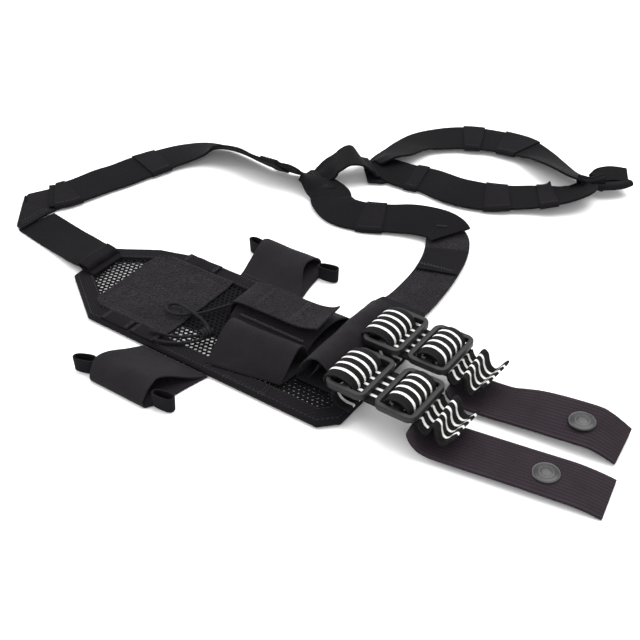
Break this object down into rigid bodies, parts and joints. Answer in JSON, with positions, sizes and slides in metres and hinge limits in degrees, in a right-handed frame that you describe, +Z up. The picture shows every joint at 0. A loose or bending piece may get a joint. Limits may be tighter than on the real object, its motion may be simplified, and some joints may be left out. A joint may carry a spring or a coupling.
{
  "type": "webbing shoulder harness with pouch panel",
  "caption": "Low-profile shoulder harness: a mesh-backed panel with tube pouches and side wings, elastic adjusters, press-stud belt straps and two arm loops of flat webbing.",
  "frame": {"origin": "middle of the back of the mesh panel, on the surface that the harness lies on", "axes": "+X runs along the panel from its shoulder-strap end to its belt end, +Y to the side of the arm loops, +Z up out of the panel's front"},
  "size_m": [0.478, 0.4097, 0.0304],
  "materials": {
    "spacer_mesh": "open warp-knit spacer mesh, black",
    "binding_tape": "flat woven tape, black, satin",
    "loop_fabric": "brushed loop fabric, charcoal black",
    "pouch_fabric": "plain weave coated nylon, black",
    "webbing": "flat woven nylon webbing, black",
    "keeper_webbing": "flat woven webbing sleeves, black",
    "striped_elastic": "woven elastic, black with four white silicone stripes",
    "moulded_plastic": "fine-grained acetal, black",
    "ribbed_elastic": "ribbed woven elastic, purple black",
    "snap_cap_paint": "satin black lacquer over pressed brass",
    "snap_steel": "nickel-plated spring socket",
    "cord": "braided elastic cord, black"
  },
  "bodies": {
    "root": {"mesh_panel": "spacer_mesh", "edge_binding": "binding_tape", "binding_tabs": "binding_tape", "loop_patch": "loop_fabric", "strap_anchor": "webbing", "near_tube": "pouch_fabric", "far_tube": "pouch_fabric", "strip_root": "loop_fabric", "end_pouch": "pouch_fabric", "end_pouch_flap": "pouch_fabric", "near_elastic": "striped_elastic", "far_elastic": "striped_elastic", "near_belt_strap": "ribbed_elastic", "far_belt_strap": "ribbed_elastic", "near_snap_stud": "snap_steel", "far_snap_stud": "snap_steel", "rear_strap": "webbing", "rear_fold": "webbing", "arm_strap_rear": "webbing", "arm_strap_far": "webbing", "arm_strap_front": "webbing", "arm_strap_end": "loop_fabric", "arm_keepers": "keeper_webbing", "end_sleeve": "keeper_webbing", "arm_crossing": "webbing", "link_root": "webbing", "cord_loop": "cord", "cord_end_a": "cord", "cord_end_b": "cord", "cord_knot": "cord"},
    "near_wing": {"near_wing": "pouch_fabric", "near_wing_tabs": "webbing"},
    "far_wing": {"far_wing": "pouch_fabric", "far_wing_tabs": "webbing"},
    "retention_strip": {"retention_strip": "loop_fabric"},
    "near_inner_adjuster": {"near_inner_adjuster": "moulded_plastic", "near_inner_wrap": "striped_elastic"},
    "near_outer_adjuster": {"near_outer_adjuster": "moulded_plastic", "near_outer_wrap": "striped_elastic", "near_tail": "striped_elastic"},
    "far_inner_adjuster": {"far_inner_adjuster": "moulded_plastic", "far_inner_wrap": "striped_elastic"},
    "far_outer_adjuster": {"far_outer_adjuster": "moulded_plastic", "far_outer_wrap": "striped_elastic", "far_tail": "striped_elastic"},
    "near_belt_tip": {"near_belt_tip": "ribbed_elastic", "near_snap_cap": "snap_cap_paint", "near_snap_socket": "snap_steel"},
    "far_belt_tip": {"far_belt_tip": "ribbed_elastic", "far_snap_cap": "snap_cap_paint", "far_snap_socket": "snap_steel"},
    "shoulder_loop": {"link_strap": "webbing", "shoulder_crossing": "webbing", "shoulder_strap_far": "webbing", "shoulder_strap_near": "webbing", "shoulder_keepers": "keeper_webbing", "tip_crossing": "webbing", "tail_flap": "webbing", "tail_loop": "webbing"}
  },
  "joints": [
    {"name": "near_wing_lift", "type": "hinge", "parent": "root", "child": "near_wing", "pos_m": [0, -0.0453, 0.0015], "axis": [-1, 0, 0], "range_deg": [0, 75]},
    {"name": "far_wing_lift", "type": "hinge", "parent": "root", "child": "far_wing", "pos_m": [0.002, 0.0453, 0.0015], "axis": [1, 0, 0], "range_deg": [0, 70]},
    {"name": "retention_strip_lift", "type": "hinge", "parent": "root", "child": "retention_strip", "pos_m": [0.0145, 0.016, 0.0199], "axis": [0, -1, 0], "range_deg": [0, 110]},
    {"name": "near_inner_adjuster_slide", "type": "slide", "parent": "root", "child": "near_inner_adjuster", "axis": [1, 0, 0], "range_m": [0, 0.004]},
    {"name": "near_outer_adjuster_slide", "type": "slide", "parent": "root", "child": "near_outer_adjuster", "axis": [1, 0, 0], "range_m": [0, 0.01]},
    {"name": "far_inner_adjuster_slide", "type": "slide", "parent": "root", "child": "far_inner_adjuster", "axis": [1, 0, 0], "range_m": [0, 0.003]},
    {"name": "far_outer_adjuster_slide", "type": "slide", "parent": "root", "child": "far_outer_adjuster", "axis": [1, 0, 0], "range_m": [0, 0.01]},
    {"name": "near_belt_fold", "type": "hinge", "parent": "root", "child": "near_belt_tip", "pos_m": [0.19741, -0.01249, 0.0021], "axis": [-0.1564, 0.9877, 0], "range_deg": [0, 170]},
    {"name": "far_belt_fold", "type": "hinge", "parent": "root", "child": "far_belt_tip", "pos_m": [0.19769, 0.03143, 0.004], "axis": [-0.1132, 0.9936, 0], "range_deg": [0, 165]},
    {"name": "shoulder_loop_fold", "type": "hinge", "parent": "root", "child": "shoulder_loop", "pos_m": [-0.035, 0.197, 0.0195], "axis": [0.6102, -0.7923, 0], "range_deg": [0, 105]}
  ]
}
